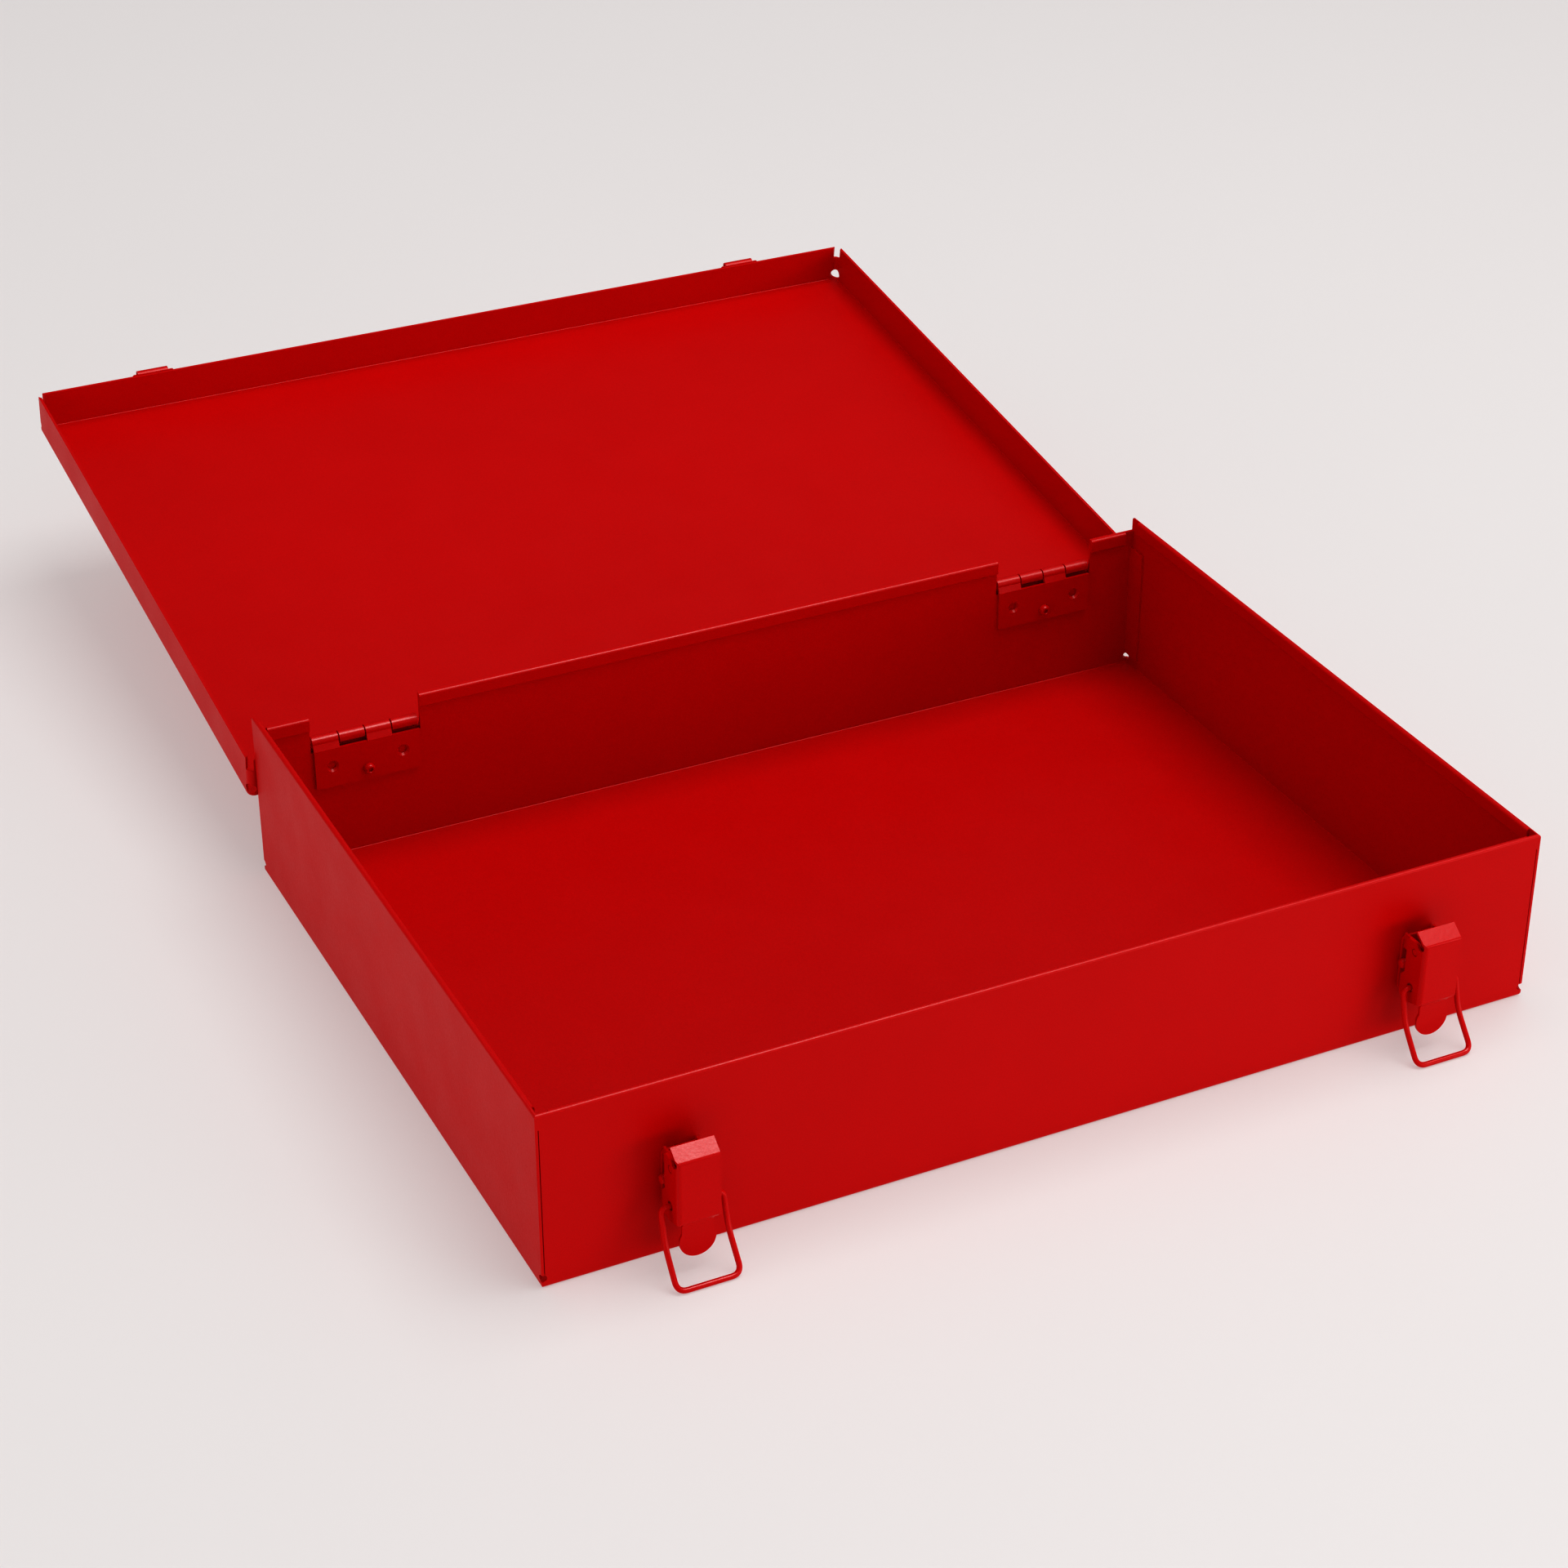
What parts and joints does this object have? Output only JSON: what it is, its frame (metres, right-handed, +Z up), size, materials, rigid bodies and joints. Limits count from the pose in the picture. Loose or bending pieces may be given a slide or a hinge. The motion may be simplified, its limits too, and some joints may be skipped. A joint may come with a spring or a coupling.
{
  "type": "metal lunch box",
  "caption": "Flat rectangular sheet-steel lunch box with a hemmed tray, a shallow hinged lid that opens flat, and wire-bail draw latches on the front.",
  "frame": {"origin": "centre of the tray's underside, on the surface the box stands on", "axes": "+X to the right along the front, +Y from the latched front to the hinged rear and on over the open lid, +Z up"},
  "size_m": [0.335, 0.5047, 0.0746],
  "materials": {
    "sheet_coat": "satin red powder coat with a fine orange-peel texture",
    "hardware_coat": "satin red powder coat over stamped steel hinges, latches and rivets",
    "bail_coat": "satin red powder coat over bent round wire"
  },
  "bodies": {
    "tray": {"tray_shell": "sheet_coat", "hinge_tray_leaf_left": "hardware_coat", "hinge_pin_left": "hardware_coat", "hinge_tray_rivet_left": "hardware_coat", "latch_base_left": "hardware_coat", "latch_rivet_low_left": "hardware_coat", "latch_rivet_high_left": "hardware_coat", "latch_pivot_left": "hardware_coat", "hinge_tray_leaf_right": "hardware_coat", "hinge_pin_right": "hardware_coat", "hinge_tray_rivet_right": "hardware_coat", "latch_base_right": "hardware_coat", "latch_rivet_low_right": "hardware_coat", "latch_rivet_high_right": "hardware_coat", "latch_pivot_right": "hardware_coat"},
    "lid": {"lid_shell": "sheet_coat", "hinge_lid_leaf_left": "hardware_coat", "hinge_lid_rivet_left": "hardware_coat", "keeper_left": "hardware_coat", "hinge_lid_leaf_right": "hardware_coat", "hinge_lid_rivet_right": "hardware_coat", "keeper_right": "hardware_coat"},
    "lever_left": {"latch_lever_left": "hardware_coat"},
    "bail_left": {"latch_bail_left": "bail_coat"},
    "lever_right": {"latch_lever_right": "hardware_coat"},
    "bail_right": {"latch_bail_right": "bail_coat"}
  },
  "joints": [
    {"name": "lid_hinge", "type": "hinge", "parent": "tray", "child": "lid", "pos_m": [0, 0.1208, 0.0439], "axis": [1, 0, 0], "range_deg": [0, 172.66]},
    {"name": "lever_left_pivot", "type": "hinge", "parent": "tray", "child": "lever_left", "pos_m": [-0.1225, -0.1279, 0.035], "axis": [1, 0, 0], "range_deg": [-60, 0]},
    {"name": "bail_left_swing", "type": "hinge", "parent": "lever_left", "child": "bail_left", "pos_m": [-0.1225, -0.1276, 0.0222], "axis": [-1, 0, 0], "range_deg": [0, 161.68]},
    {"name": "lever_right_pivot", "type": "hinge", "parent": "tray", "child": "lever_right", "pos_m": [0.1225, -0.1279, 0.035], "axis": [1, 0, 0], "range_deg": [-60, 0]},
    {"name": "bail_right_swing", "type": "hinge", "parent": "lever_right", "child": "bail_right", "pos_m": [0.1225, -0.1276, 0.0222], "axis": [-1, 0, 0], "range_deg": [0, 161.68]}
  ]
}
